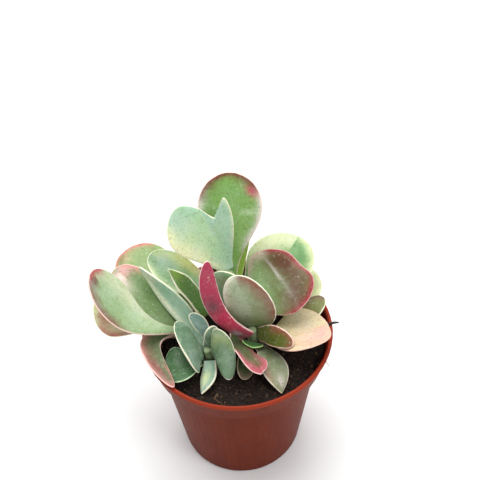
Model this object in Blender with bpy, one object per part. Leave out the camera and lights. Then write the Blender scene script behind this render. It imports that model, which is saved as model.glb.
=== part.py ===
"""A variegated paddle plant (a succulent) growing in a round plastic nursery pot.

Metres, +Z up. The origin is the centre of the pot's foot, and -Y is the side that the plant shows
to the viewer. The driving dimensions are in millimetres and are turned to metres by MM.
"""

import math
from dataclasses import dataclass

import bmesh
import bpy
from mathutils import Matrix, Vector

MM = 0.001
GAP = 0.35 * MM  # clearance kept between two pieces that touch
ROD_SIDES = 16

# Pot: injection-moulded, with a rolled lip, a flared collar and a tapered body.
RIM_RADIUS = 52.5 * MM
POT_HEIGHT = 93.0 * MM
LIP_WIDTH = 2.2 * MM
LIP_HEIGHT = 2.6 * MM
COLLAR_TOP_RADIUS = 51.6 * MM
COLLAR_FOOT_RADIUS = 49.2 * MM
COLLAR_FOOT_HEIGHT = 79.0 * MM
BODY_TOP_RADIUS = 45.4 * MM
BODY_TOP_HEIGHT = 75.5 * MM
FOOT_RADIUS = 36.8 * MM
FOOT_ROUNDING = 1.6 * MM
WALL = 1.3 * MM
FLOOR_THICKNESS = 1.6 * MM
FOOT_RING_WIDTH = 4.0 * MM
FOOT_PAD_RADIUS = 12.0 * MM
FLOOR_RECESS = 1.5 * MM
DRAIN_HOLES = 8
DRAIN_HOLE_RADIUS = 3.2 * MM
DRAIN_RING_RADIUS = 23.0 * MM
POT_SIDES = 64
LIP_CROWN = 0.3  # share of the lip's width and height that its rounded corners take
COLLAR_STEP = 0.9 * MM  # how far the body turns out under the collar
FOOT_RING_BEVEL = 1.0 * MM
INNER_FOOT_BEVEL = 1.4 * MM

# Soil: fills the pot to a little below the lip, with a loose, lumpy top.
SOIL_BELOW_RIM = 6.5 * MM
SOIL_MOUND = 2.5 * MM
SOIL_LUMP = 0.55 * MM
SOIL_LUMP_TURNS = (310, 270, 640, 520)  # radians a metre of the waves that make the lumps
SOIL_CLEARANCE = 0.5 * MM  # between the soil and the pot's wall
SOIL_SIDES = 48
SOIL_RINGS = 7

# Stems: they stand in plain holes in the soil, and their tops are domed.
STEM_DEPTH = 16.0 * MM
STEM_HOLE_DEEPER = 1.2 * MM
STEM_HOLE_OVER = 12.0 * MM  # how far a hole's cutter stands above the soil
STEM_SIDES = 12
STEM_DOME = ((1.0, 0.8), (0.75, 0.25), (0.35, 0.0))  # shares of the top radius: radius, depth

SOIL_TOP = POT_HEIGHT - SOIL_BELOW_RIM

# Blades: rows from the midrib to the margin, as shares of the half width, with the share of the
# full thickness that the blade keeps there.
BLADE_ROWS = ((0.0, 1.0), (0.5, 0.92), (0.88, 0.62), (1.0, 0.0))
BLADE_COLUMNS = 11  # along each margin, from the foot to the tip
SPINE_STEPS = 24
THINNER_AT_TIP = 0.25  # how much of its thickness the blade loses by the tip
MIDRIB_SHORTER = 0.9  # how much the midrib shortens below a notch, in notch depths


@dataclass
class Stem:
    """A fleshy stem. It leans from its foot in the soil, and its sides taper to its top."""

    foot: tuple  # x and y where it leaves the soil
    lean: tuple  # x and y travel from the soil to its top
    rise: float  # height of its top above the soil
    radius: float
    top_radius: float

    def centre(self, height):
        share = height / self.rise
        return Vector(
            (
                (self.foot[0] + self.lean[0] * share) * MM,
                (self.foot[1] + self.lean[1] * share) * MM,
                SOIL_TOP + height * MM,
            )
        )

    def radius_at(self, height):
        share = min(max(height / self.rise, 0.0), 1.0)
        return (self.radius + (self.top_radius - self.radius) * share) * MM


@dataclass
class Leaf:
    """A paddle leaf, from the foot on its stem to its tip. Millimetres and degrees."""

    stem: str
    at: float  # height of the foot on the stem, above the soil
    tip: tuple  # where the tip lies
    width: float
    bow: float = 0.0  # how far the middle sags below the straight line from foot to tip
    seat: float | None = None  # azimuth of the foot on its stem, if it isn't the leaf's own
    sway: float = 0.0  # how far the middle swings to the right of that line
    turn: float = 0.0  # roll about its own length: positive takes the right margin down
    twist: float = 0.0  # further roll by the tip
    cup_left: float = 15.0  # how far each margin turns up
    cup_right: float = 15.0
    fold_left: float = 0.0  # how far each half is folded up along the midrib
    fold_right: float = 0.0
    foot: float = 8.0  # width where it leaves the stem
    thick: float = 2.6
    wave: float = 0.0  # height of the margin's waves
    waves: float = 1.5
    phase: float = 0.0
    round_share: float = 0.36  # length of the round end, as a share of the whole
    notch: float = 0.0  # depth of a notch in the margin, as a share of the length
    notch_at: float = 0.0  # where it lies: -1 is the left foot, 0 the tip, 1 the right foot
    notch_width: float = 0.12
    point: float = 0.0  # how far the round end is drawn out to a point
    skew: float = 0.0  # how far the right half runs ahead of the left, as a share of the width
    neck: float = 1.0  # above 1 the blade stays narrow for longer before it widens
    lop: float = 0.0  # how much wider the right half is than the left, as a share of its width


STEMS = {
    "main": Stem(foot=(0, 3), lean=(-3, 5), rise=40, radius=5.5, top_radius=3.0),
    "left": Stem(foot=(-18, -4), lean=(-2, 1), rise=24, radius=4.0, top_radius=2.4),
    "right": Stem(foot=(9, -8), lean=(-1, 0), rise=13, radius=3.6, top_radius=2.4),
    "front": Stem(foot=(-14, -18), lean=(-2, -3), rise=14, radius=3.2, top_radius=2.0),
}

LEAVES = {
    "leaf_back_tall": Leaf(
        "main", 28.5, (0, 40, 169), 34, bow=-3, seat=100, turn=5, cup_left=10, cup_right=10,
        round_share=0.3, neck=1.4,
    ),
    "leaf_back_folded": Leaf(
        "main", 38.5, (-21, 23.5, 175), 37, seat=95, sway=1, turn=-22, cup_left=12, cup_right=17,
        fold_right=17, notch=0.42, notch_at=0.12, notch_width=0.19, round_share=0.36, neck=0.72,
        skew=0.23, lop=-0.23,
    ),
    "leaf_back_edge": Leaf(
        "main", 22.5, (9, 39.5, 145.5), 7, bow=-0.5, seat=70, turn=40, foot=4, thick=1.8,
    ),
    "leaf_rear_right": Leaf(
        "main", 14, (37, 35, 126), 37, bow=-3, seat=40, sway=4, turn=15, round_share=0.4,
        neck=0.85, skew=0.1,
    ),
    "leaf_rear_low": Leaf(
        "main", 3.5, (47.5, 24, 105), 29.5, bow=-2, sway=-4, turn=9, round_share=0.28, neck=1.1,
        skew=0.13,
    ),
    "leaf_right_big": Leaf(
        "main", 18, (35, 17, 128), 43, bow=1, seat=20, sway=3, turn=17, notch=0.07, notch_at=0.05,
        round_share=0.46, neck=0.8, skew=0.2, lop=0.1,
    ),
    "leaf_right_oval": Leaf(
        "right", 9, (0, -3, 136.5), 27, bow=-5, seat=70, sway=-2.5, turn=-70, twist=-3,
        cup_left=8, cup_right=12, round_share=0.48, neck=0.4, skew=-0.02, lop=0.1,
    ),
    "leaf_right_fold": Leaf(
        "right", 3.5, (48, 9.5, 104), 13.5, bow=-2.5, seat=10, sway=8, turn=8, cup_right=17,
        foot=4, round_share=0.34, skew=-0.02,
    ),
    "leaf_right_olive": Leaf(
        "right", 11, (28.5, -25, 106.5), 11, bow=-6, seat=-25, sway=3, turn=52, twist=-20,
        cup_left=19, foot=7, round_share=0.47, neck=0.9, skew=0.09, lop=-0.12,
    ),
    "leaf_right_cream": Leaf(
        "right", 6.5, (48.5, -11, 102.5), 33.5, bow=-8, seat=-15, sway=6, twist=-5, cup_left=13,
        cup_right=28, foot=5, wave=1.5, waves=1.25, phase=-45, round_share=0.4, neck=1.1,
    ),
    "leaf_crimson": Leaf(
        "right", 12.5, (-12.5, -12, 156.5), 9.5, bow=14.5, seat=235, sway=-5, turn=73, twist=24,
        cup_right=6, foot=9, skew=0.03, lop=0.04,
    ),
    "leaf_front_blue": Leaf("main", 25, (-3, 4, 132), 18.5, bow=2, seat=230, turn=8, neck=0.9),
    "leaf_left_paddle": Leaf(
        "left", 12.5, (-72, 1, 140), 28, bow=11, sway=-19.5, foot=4, round_share=0.26, neck=1.8,
        skew=0.2,
    ),
    "leaf_left_under": Leaf(
        "left", 7, (-76.5, -0.5, 109), 28, bow=-8.5, seat=145, sway=4.5, turn=-28, twist=-4,
        round_share=0.2, neck=1.4,
    ),
    "leaf_left_pink": Leaf(
        "left", 11, (-64, 19.5, 123.5), 25, bow=-3, seat=155, sway=-9.5, turn=-23, neck=0.5,
        lop=-0.13,
    ),
    "leaf_left_rear": Leaf(
        "main", 8, (-65, 41, 113), 31, bow=-8, seat=150, sway=-5, turn=-10, round_share=0.25,
        neck=0.8,
    ),
    "leaf_left_oval": Leaf(
        "main", 21, (-45, 25, 128), 21.5, bow=-3.5, seat=160, sway=-6, turn=-10, round_share=0.38,
        skew=0.02, lop=-0.07,
    ),
    "leaf_left_pointed": Leaf(
        "left", 23.5, (-33, -2.5, 143), 9.5, bow=-3, seat=-25, sway=1.5, turn=-48, twist=-3,
        cup_left=41, point=0.45, skew=0.06, lop=-0.11,
    ),
    "leaf_left_long": Leaf(
        "front", 9, (-50.5, 12.5, 130), 16, bow=-2.5, seat=115, sway=4, turn=-40, twist=-67,
        cup_left=25, cup_right=13, foot=5, round_share=0.38, neck=0.9, lop=0.12,
    ),
    "leaf_rim": Leaf(
        "left", 5, (-33, -39.5, 95), 11, bow=-16.5, seat=220, sway=39, turn=35, twist=-95,
        cup_left=20, cup_right=17, foot=6, round_share=0.44,
    ),
    "leaf_front_round": Leaf(
        "front", 3, (-38, -26.5, 91.5), 21.5, bow=-8.5, seat=-155, sway=-4, turn=-3, foot=5,
        round_share=0.33, neck=1.35, skew=0.12, lop=0.04,
    ),
    "leaf_front_kite": Leaf(
        "front", 9.5, (-27, -28, 107.5), 27.5, bow=1, seat=-175, turn=-46, twist=20, cup_left=10,
        cup_right=6, round_share=0.42, neck=0.8, skew=0.6, lop=0.29,
    ),
    "leaf_front_pale": Leaf(
        "front", 8, (-19.5, -40, 88.5), 10, bow=3, seat=-90, sway=-2, turn=12, twist=32,
        cup_right=17, foot=7, point=0.25, round_share=0.5, skew=0.04, lop=-0.13,
    ),
    "leaf_front_oval": Leaf(
        "front", 13.5, (-1.5, -27, 106.5), 27, bow=-5.5, seat=-25, sway=6, turn=56, cup_left=9,
        cup_right=13, foot=4, neck=1.1, skew=0.21, lop=0.07,
    ),
    "leaf_front_inner": Leaf(
        "front", 13.5, (-11, -17, 114.5), 8.5, bow=-2.5, seat=45, sway=0.5, turn=45, twist=4,
        cup_left=17, cup_right=13, foot=4, round_share=0.46, neck=0.65, skew=-0.07, lop=-0.05,
    ),
    "leaf_front_upper": Leaf(
        "front", 13, (-24.5, -9.5, 115.5), 7.5, bow=-4, seat=105, sway=4.5, turn=-27, twist=15,
        cup_right=13, foot=3, round_share=0.38, neck=1.4, skew=0.05, lop=0.05,
    ),
    "leaf_front_wavy": Leaf(
        "main", 4, (12.5, -36, 100.5), 18.5, bow=-3.5, seat=265, sway=5.5, turn=-31, twist=-2,
        cup_left=10, foot=7, thick=2.2, wave=2, neck=1.35, lop=0.13,
    ),
    "leaf_front_shaded": Leaf(
        "right", 3, (2.5, -33, 89.5), 10, bow=-5.5, seat=235, sway=0.5, turn=-19, twist=-9,
        cup_right=13, foot=5, lop=-0.02,
    ),
    "leaf_front_dark": Leaf(
        "right", 6.5, (7.5, -18, 96.5), 12, bow=-2, seat=255, sway=-0.5, turn=-14, foot=5,
        thick=1.8, point=0.2, round_share=0.43,
    ),
    "leaf_front_drooping": Leaf(
        "right", 3.5, (21.5, -41.5, 88), 15, bow=-7, seat=305, sway=-2.5, twist=-17, cup_left=20,
        foot=6, thick=2.2, point=0.3, round_share=0.41,
    ),
}


def outline(leaf, length, t):
    """The right margin at t, from 0 at the foot to 1 at the tip: across, along, and the midrib."""
    half, foot = leaf.width / 2, leaf.foot / 2
    cap = length * leaf.round_share
    neck = length - cap
    if t < 0.5:
        share = t / 0.5
        along = neck * share
        swell = (0.5 - 0.5 * math.cos(math.pi * share)) ** leaf.neck
        return foot + (half - foot) * swell, along, along
    angle = (t - 0.5) * math.pi
    point = leaf.point * (1 - math.cos(angle)) ** 2
    across = half * math.cos(angle) * (1 - 0.35 * leaf.point * math.sin(angle))
    reach = neck + cap * math.sin(angle) / (1 + leaf.point) * (1 + point)
    return across, reach, neck + cap * 0.45 * math.sin(angle)


def flat_point(leaf, length, side, t, s):
    """Point of the flat blade: side is -1 or 1, t runs to the tip, s from midrib to margin."""
    across, along, mid = outline(leaf, length, t)
    place = side * (1 - t)
    dip = leaf.notch * length * math.exp(-(((place - leaf.notch_at) / leaf.notch_width) ** 2))
    mid *= 1 - MIDRIB_SHORTER * leaf.notch
    along = mid + (along - mid) * s - dip * s
    across = side * across * s * (1 + side * leaf.lop)
    return across, along + leaf.skew * across * t


def spine(leaf):
    """The midrib: its length, and at equal steps its place, tangent, side and normal."""
    stem = STEMS[leaf.stem]
    centre = stem.centre(leaf.at)
    tip = Vector(leaf.tip) * MM
    chord = tip - centre
    right = chord.cross(Vector((0, 0, 1))).normalized()
    upward = right.cross(chord.normalized())
    middle = (centre + tip) / 2 - upward * leaf.bow * MM + right * leaf.sway * MM
    outward = middle - centre
    steep = abs(outward.normalized().z)
    if leaf.seat is not None:
        outward = Vector((math.cos(math.radians(leaf.seat)), math.sin(math.radians(leaf.seat)), 0))
    outward.z = 0
    clear = stem.radius_at(leaf.at) + 2 * GAP + leaf.thick / 2 * steep * MM
    start = centre + outward.normalized() * clear
    middle = (start + tip) / 2 - upward * leaf.bow * MM + right * leaf.sway * MM
    places = [
        start * (1 - u) ** 2 + middle * 2 * u * (1 - u) + tip * u**2
        for u in [i / SPINE_STEPS for i in range(SPINE_STEPS + 1)]
    ]
    travelled = [0.0]
    for near, far in zip(places, places[1:]):
        travelled.append(travelled[-1] + (far - near).length / MM)
    length = travelled[-1]
    frames = []
    for i in range(SPINE_STEPS + 1):
        u = i / SPINE_STEPS
        tangent = ((middle - start) * (1 - u) + (tip - middle) * u).normalized()
        side = (right - tangent * right.dot(tangent)).normalized()
        side = Matrix.Rotation(math.radians(leaf.turn + leaf.twist * u), 3, tangent) @ side
        frames.append((travelled[i], places[i], tangent, side, side.cross(tangent)))
    return length, frames


def on_spine(frames, along):
    """The spine's place, tangent, side and normal at a distance along it."""
    i = 0
    while i < len(frames) - 2 and frames[i + 1][0] < along:
        i += 1
    share = (along - frames[i][0]) / (frames[i + 1][0] - frames[i][0])
    return [a + (b - a) * share for a, b in zip(frames[i][1:], frames[i + 1][1:])]


def blade_point(leaf, length, frames, side, t, s):
    """Point of the blade's middle surface in space."""
    across, along = flat_point(leaf, length, side, t, s)
    half = leaf.width / 2
    cup, fold = (
        (leaf.cup_right, leaf.fold_right) if across > 0 else (leaf.cup_left, leaf.fold_left)
    )
    cup, fold = math.radians(max(cup, 0.01)), math.radians(fold) * min(1.0, 3 * along / length)
    turned = fold + cup * abs(across) / half
    reach = half / cup * (math.sin(turned) - math.sin(fold))
    lift = half / cup * (math.cos(fold) - math.cos(turned))
    share = along / length
    angle = 2 * math.pi * leaf.waves * share + math.radians(leaf.phase)
    ripple = leaf.wave * s**2 * share * math.sin(angle + (side > 0) * 1.9)
    place, _, out, normal = on_spine(frames, along)
    return place + out * math.copysign(reach, across) * MM + normal * (lift + ripple) * MM


def middle_surface(leaf):
    """The blade's middle surface in triangles, each point with its share of the thickness."""
    length, frames = spine(leaf)
    middle = bmesh.new()
    share = middle.verts.layers.float.new("share")
    made = {}

    def vert(side, column, row):
        if row == 0 or column == BLADE_COLUMNS:
            side = 1
        if (side, column, row) not in made:
            s, thickness = BLADE_ROWS[row]
            t = column / BLADE_COLUMNS
            point = middle.verts.new(blade_point(leaf, length, frames, side, t, s))
            point[share] = thickness * (1.0 - THINNER_AT_TIP * t)
            made[side, column, row] = point
        return made[side, column, row]

    for side in (-1, 1):
        for column in range(BLADE_COLUMNS):
            for row in range(len(BLADE_ROWS) - 1):
                a, b = vert(side, column, row), vert(side, column, row + 1)
                c, d = vert(side, column + 1, row + 1), vert(side, column + 1, row)
                for corners in ((a, b, d), (b, c, d)):
                    middle.faces.new(corners if side > 0 else corners[::-1])
    middle.normal_update()
    return middle, share


def blade_mesh(leaf, name):
    """The closed blade: its middle surface given its thickness both ways, sharp at the margin."""
    middle, share = middle_surface(leaf)
    solid = bmesh.new()
    top, bottom = {}, {}
    for point in middle.verts:
        half = point.normal * (point[share] * leaf.thick / 2 * MM)
        top[point] = solid.verts.new(point.co + half)
        bottom[point] = solid.verts.new(point.co - half) if point[share] > 0 else top[point]
    for face in middle.faces:
        solid.faces.new([top[point] for point in face.verts])
        solid.faces.new([bottom[point] for point in reversed(face.verts)])
    for edge in middle.edges:
        first, second = edge.verts
        if edge.is_boundary and first[share] + second[share] > 0:
            corners = [top[first], top[second], bottom[second], bottom[first]]
            solid.faces.new(list(dict.fromkeys(corners)))
    bmesh.ops.recalc_face_normals(solid, faces=solid.faces)
    bmesh.ops.triangulate(solid, faces=solid.faces)
    mesh = bpy.data.meshes.new(name)
    solid.to_mesh(mesh)
    middle.free()
    solid.free()
    return mesh


def material(name, colour, roughness):
    """A Principled material, with its colour in linear values."""
    made = bpy.data.materials.new(name)
    made.use_nodes = True
    shader = made.node_tree.nodes["Principled BSDF"]
    shader.inputs["Base Color"].default_value = (*colour, 1.0)
    shader.inputs["Roughness"].default_value = roughness
    shader.inputs["Metallic"].default_value = 0.0
    return made


def add_object(name, mesh, finish):
    placed = bpy.data.objects.new(name, mesh)
    bpy.context.scene.collection.objects.link(placed)
    mesh.materials.append(finish)
    mesh.shade_smooth()
    mesh.set_sharp_from_angle(angle=math.radians(40))
    return placed


def turned_mesh(name, profile, sides):
    """A solid turned about Z from a closed profile of (radius, height) points."""
    turned = bmesh.new()
    verts = [turned.verts.new((radius, 0, height)) for radius, height in profile]
    edges = [turned.edges.new((a, b)) for a, b in zip(verts, verts[1:])]
    if profile[0][0] > 0:
        edges.append(turned.edges.new((verts[-1], verts[0])))
    bmesh.ops.spin(
        turned,
        geom=verts + edges,
        cent=(0, 0, 0),
        axis=(0, 0, 1),
        angle=2 * math.pi,
        steps=sides,
        use_merge=True,
    )
    bmesh.ops.remove_doubles(turned, verts=turned.verts, dist=0.001 * MM)
    bmesh.ops.recalc_face_normals(turned, faces=turned.faces)
    mesh = bpy.data.meshes.new(name)
    turned.to_mesh(mesh)
    turned.free()
    return mesh


def cut(target, cutters):
    """Cuts each closed cutter from the target, and hides the cutters."""
    for cutter in cutters:
        cutter.display_type = "WIRE"
        cutter.hide_render = True
        boolean = target.modifiers.new("cut", "BOOLEAN")
        boolean.operation = "DIFFERENCE"
        boolean.object = cutter


def rod(name, start, end, radius, finish):
    """A round solid between two points, to cut a hole with."""
    axis = end - start
    made = bmesh.new()
    bmesh.ops.create_cone(
        made, cap_ends=True, segments=ROD_SIDES, radius1=radius, radius2=radius, depth=axis.length
    )
    turn = axis.to_track_quat("Z", "Y").to_matrix().to_4x4()
    bmesh.ops.transform(
        made, matrix=Matrix.Translation((start + end) / 2) @ turn, verts=made.verts
    )
    mesh = bpy.data.meshes.new(name)
    made.to_mesh(mesh)
    made.free()
    return add_object(name, mesh, finish)


def pot_profile():
    """The pot's outline, up the outside from the foot and down the inside to the floor."""
    inner_foot = FOOT_RADIUS - WALL
    floor = FLOOR_RECESS + FLOOR_THICKNESS
    lip_wide, lip_high = LIP_CROWN * LIP_WIDTH, LIP_CROWN * LIP_HEIGHT
    return [
        (0, 0),
        (FOOT_PAD_RADIUS, 0),
        (FOOT_PAD_RADIUS + FLOOR_RECESS, FLOOR_RECESS),
        (FOOT_RADIUS - FOOT_RING_WIDTH, FLOOR_RECESS),
        (FOOT_RADIUS - FOOT_RING_WIDTH + FOOT_RING_BEVEL, 0),
        (FOOT_RADIUS - FOOT_ROUNDING, 0),
        (FOOT_RADIUS - 0.3 * FOOT_ROUNDING, 0.3 * FOOT_ROUNDING),
        (FOOT_RADIUS, FOOT_ROUNDING),
        (BODY_TOP_RADIUS, BODY_TOP_HEIGHT),
        (BODY_TOP_RADIUS + COLLAR_STEP, BODY_TOP_HEIGHT + 2 * COLLAR_STEP),
        (COLLAR_FOOT_RADIUS - COLLAR_STEP, COLLAR_FOOT_HEIGHT - COLLAR_STEP),
        (COLLAR_FOOT_RADIUS, COLLAR_FOOT_HEIGHT),
        (COLLAR_TOP_RADIUS, POT_HEIGHT - LIP_HEIGHT),
        (RIM_RADIUS, POT_HEIGHT - LIP_HEIGHT + lip_high),
        (RIM_RADIUS, POT_HEIGHT - lip_high),
        (RIM_RADIUS - lip_wide, POT_HEIGHT),
        (RIM_RADIUS - LIP_WIDTH + lip_wide, POT_HEIGHT),
        (RIM_RADIUS - LIP_WIDTH, POT_HEIGHT - lip_high),
        (COLLAR_FOOT_RADIUS - WALL, COLLAR_FOOT_HEIGHT),
        (BODY_TOP_RADIUS - WALL, BODY_TOP_HEIGHT),
        (inner_foot, floor + INNER_FOOT_BEVEL),
        (inner_foot - INNER_FOOT_BEVEL, floor),
        (0, floor),
    ]


def build_pot():
    plastic = material("terracotta_plastic", (0.22, 0.045, 0.018), 0.42)
    pot = add_object("pot", turned_mesh("pot", pot_profile(), POT_SIDES), plastic)
    holes = []
    for i in range(DRAIN_HOLES):
        angle = 2 * math.pi * (i + 0.5) / DRAIN_HOLES
        centre = Vector((math.cos(angle), math.sin(angle), 0)) * DRAIN_RING_RADIUS
        reach = Vector((0, 0, 2 * (FLOOR_RECESS + FLOOR_THICKNESS)))
        cutter = f"drain_cutter_{i + 1}"
        holes.append(rod(cutter, centre - reach, centre + reach, DRAIN_HOLE_RADIUS, plastic))
    cut(pot, holes)


def inner_radius(height):
    """The pot's inner radius at a height."""
    floor = FLOOR_RECESS + FLOOR_THICKNESS
    low, high = (floor, FOOT_RADIUS - WALL), (BODY_TOP_HEIGHT, BODY_TOP_RADIUS - WALL)
    if height > BODY_TOP_HEIGHT:
        low, high = high, (COLLAR_FOOT_HEIGHT, COLLAR_FOOT_RADIUS - WALL)
    if height > COLLAR_FOOT_HEIGHT:
        low, high = high, (POT_HEIGHT - LIP_CROWN * LIP_HEIGHT, RIM_RADIUS - LIP_WIDTH)
    share = (height - low[0]) / (high[0] - low[0])
    return low[1] + (high[1] - low[1]) * share


def soil_height(x, y):
    """Height of the soil's top: a low mound with lumps."""
    a, b, c, d = SOIL_LUMP_TURNS
    out = math.hypot(x, y) / RIM_RADIUS
    lumps = math.sin(x * a + 1.3) * math.cos(y * b - 0.6) + 0.6 * math.sin(x * c - y * d)
    return SOIL_TOP + SOIL_MOUND * (0.6 - out**2) + SOIL_LUMP * lumps


def ring_points(radius, height):
    """A ring of points about Z; the height may follow from the place."""
    points = []
    for i in range(SOIL_SIDES):
        angle = 2 * math.pi * i / SOIL_SIDES
        x, y = radius * math.cos(angle), radius * math.sin(angle)
        points.append((x, y, height(x, y)))
    return points


def build_soil():
    earth = material("potting_soil", (0.022, 0.014, 0.010), 0.95)
    soil = bmesh.new()
    floor = FLOOR_RECESS + FLOOR_THICKNESS + GAP
    edge = inner_radius(SOIL_TOP - SOIL_MOUND) - SOIL_CLEARANCE
    rings = [ring_points(edge * (i + 1) / SOIL_RINGS, soil_height) for i in range(SOIL_RINGS)]
    bevel = INNER_FOOT_BEVEL + GAP
    for height, inset in (
        (COLLAR_FOOT_HEIGHT, 0.0),
        (BODY_TOP_HEIGHT, 0.0),
        (floor + bevel, 0.0),
        (floor, bevel),
    ):
        radius = inner_radius(height) - SOIL_CLEARANCE - inset
        rings.append(ring_points(radius, lambda x, y: height))
    rings = [[soil.verts.new(point) for point in ring] for ring in rings]
    for near, far in zip(rings, rings[1:]):
        for i in range(SOIL_SIDES):
            j = (i + 1) % SOIL_SIDES
            soil.faces.new((near[i], far[i], far[j], near[j]))
    centre = soil.verts.new((0, 0, soil_height(0, 0)))
    for i in range(SOIL_SIDES):
        soil.faces.new((centre, rings[0][i], rings[0][(i + 1) % SOIL_SIDES]))
    soil.faces.new(rings[-1][::-1])
    bmesh.ops.triangulate(soil, faces=soil.faces)
    bmesh.ops.recalc_face_normals(soil, faces=soil.faces)
    mesh = bpy.data.meshes.new("soil")
    soil.to_mesh(mesh)
    soil.free()
    bed = add_object("soil", mesh, earth)
    holes = []
    for name, stem in STEMS.items():
        low = stem.centre(-(STEM_DEPTH + STEM_HOLE_DEEPER) / MM)
        high = stem.centre(STEM_HOLE_OVER / MM)
        holes.append(rod(f"{name}_stem_hole", low, high, stem.radius * MM + 2 * GAP, earth))
    cut(bed, holes)


def stem_rings(stem):
    """Height in millimetres and radius of each ring, from the foot in the soil to the dome."""
    rings = [(-STEM_DEPTH / MM, stem.radius * MM), (0.0, stem.radius * MM)]
    for share, depth in STEM_DOME:
        height = stem.rise - depth * stem.top_radius
        rings.append((height, stem.radius_at(height) * share))
    return rings


def build_stems():
    flesh = material("stem_flesh", (0.20, 0.27, 0.12), 0.6)
    for name, stem in STEMS.items():
        body = bmesh.new()
        rows = []
        for height, radius in stem_rings(stem):
            middle = stem.centre(height)
            row = []
            for i in range(STEM_SIDES):
                angle = 2 * math.pi * i / STEM_SIDES
                out = Vector((math.cos(angle), math.sin(angle), 0)) * radius
                row.append(body.verts.new(middle + out))
            rows.append(row)
        for low, high in zip(rows, rows[1:]):
            for i in range(STEM_SIDES):
                j = (i + 1) % STEM_SIDES
                body.faces.new((low[i], low[j], high[j], high[i]))
        body.faces.new(rows[0][::-1])
        body.faces.new(rows[-1])
        mesh = bpy.data.meshes.new(f"{name}_stem")
        body.to_mesh(mesh)
        body.free()
        add_object(f"{name}_stem", mesh, flesh)


def build_leaves():
    blade = material("leaf_blade", (0.19, 0.34, 0.12), 0.5)
    for name, leaf in LEAVES.items():
        add_object(name, blade_mesh(leaf, name), blade)


def main():
    for item in list(bpy.data.objects):
        bpy.data.objects.remove(item)
    build_pot()
    build_soil()
    build_stems()
    build_leaves()


main()
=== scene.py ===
"""The looks of a potted paddle plant: fleshy variegated paddles with their bloom and margins, soft
stems, peat with its crumbs and fibres, and a moulded plastic pot, on a pale studio floor."""

import math
from dataclasses import dataclass

import bmesh
import bpy
from bpy.props import FloatProperty, FloatVectorProperty, IntProperty, PointerProperty
from bpy.types import Operator, Panel, PropertyGroup
from mathutils import Matrix, Vector, noise


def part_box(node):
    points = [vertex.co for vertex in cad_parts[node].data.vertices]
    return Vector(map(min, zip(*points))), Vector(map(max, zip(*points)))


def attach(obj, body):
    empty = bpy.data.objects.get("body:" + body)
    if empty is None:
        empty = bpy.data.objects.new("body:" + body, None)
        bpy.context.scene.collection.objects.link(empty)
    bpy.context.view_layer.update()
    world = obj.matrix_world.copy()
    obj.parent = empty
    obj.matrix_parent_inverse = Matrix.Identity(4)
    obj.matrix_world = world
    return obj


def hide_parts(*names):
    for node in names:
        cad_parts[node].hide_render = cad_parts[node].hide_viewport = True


bl_info = {
    "name": "Potted Paddle Plant",
    "version": (1, 0, 0),
    "blender": (4, 5, 0),
    "location": "View3D > Sidebar > Paddle Plant",
    "description": "Dresses a potted paddle plant: leaves, stems, peat, pot and studio",
    "category": "Object",
}

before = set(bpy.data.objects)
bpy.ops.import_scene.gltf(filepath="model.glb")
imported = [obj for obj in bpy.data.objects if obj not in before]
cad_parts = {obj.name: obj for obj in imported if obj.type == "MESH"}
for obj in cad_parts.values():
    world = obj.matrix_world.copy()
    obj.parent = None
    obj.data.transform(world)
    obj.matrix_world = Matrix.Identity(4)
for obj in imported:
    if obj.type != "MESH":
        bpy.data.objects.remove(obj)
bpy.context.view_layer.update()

MM = 0.001

# Pot and soil, as in the solids.
RIM_RADIUS = 52.5 * MM
POT_HEIGHT = 93.0 * MM
LIP_WIDTH = 2.2 * MM
COLLAR_FOOT_RADIUS = 49.2 * MM
COLLAR_FOOT_HEIGHT = 79.0 * MM
WALL = 1.3 * MM
SOIL_BELOW_RIM = 6.5 * MM
SOIL_MOUND = 2.5 * MM
SOIL_LUMP = 0.54 * MM
SOIL_LUMP_TURNS = (310, 270, 640, 520)  # radians a metre of the waves that make the lumps
SOIL_TOP = POT_HEIGHT - SOIL_BELOW_RIM
GAP = 0.35 * MM  # between a leaf's foot and its stem, on each side

# Blades: rows from the midrib to the margin, as shares of the half width, closest at the margin,
# where the blade is rounded and the pale line runs.
BLADE_ROWS = (0, 0.1, 0.24, 0.38, 0.52, 0.64, 0.75, 0.84, 0.9, 0.945, 0.972, 0.99, 1)
BLADE_COLUMNS = 56  # along each margin, from the foot to the tip
SPINE_STEPS = 24
THINNER_AT_TIP = 0.25
FACES_APART = 10 * MM  # between the patterns of a blade's two faces
EDGE_ROUNDING = 0.45  # below 0.5 the margin is blunter than an ellipse
SWELLS = ((9, 0.35), (3, 0.1))  # a blade's soft swells: size in mm and share
POINT_SLIMS = 0.35  # how much a pointed end is narrower than a round one
MIDRIB_REACH = 0.45  # share of the round end that the midrib runs into
FOLD_GROWS = 3  # a fold is full from one part in this many of the length on
MARGINS_APART = 1.9  # radians between the waves of the two margins
MIDRIB_SHORTER = 0.9  # how much the midrib shortens below a notch, in notch depths


@dataclass
class Stem:
    """A fleshy stem. It leans from its foot in the soil, and its sides taper to its top."""

    foot: tuple  # x and y where it leaves the soil
    lean: tuple  # x and y travel from the soil to its top
    rise: float  # height of its top above the soil
    radius: float
    top_radius: float

    def centre(self, height):
        share = height / self.rise
        return Vector(
            (
                (self.foot[0] + self.lean[0] * share) * MM,
                (self.foot[1] + self.lean[1] * share) * MM,
                SOIL_TOP + height * MM,
            )
        )

    def radius_at(self, height):
        share = min(max(height / self.rise, 0.0), 1.0)
        return (self.radius + (self.top_radius - self.radius) * share) * MM


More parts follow.
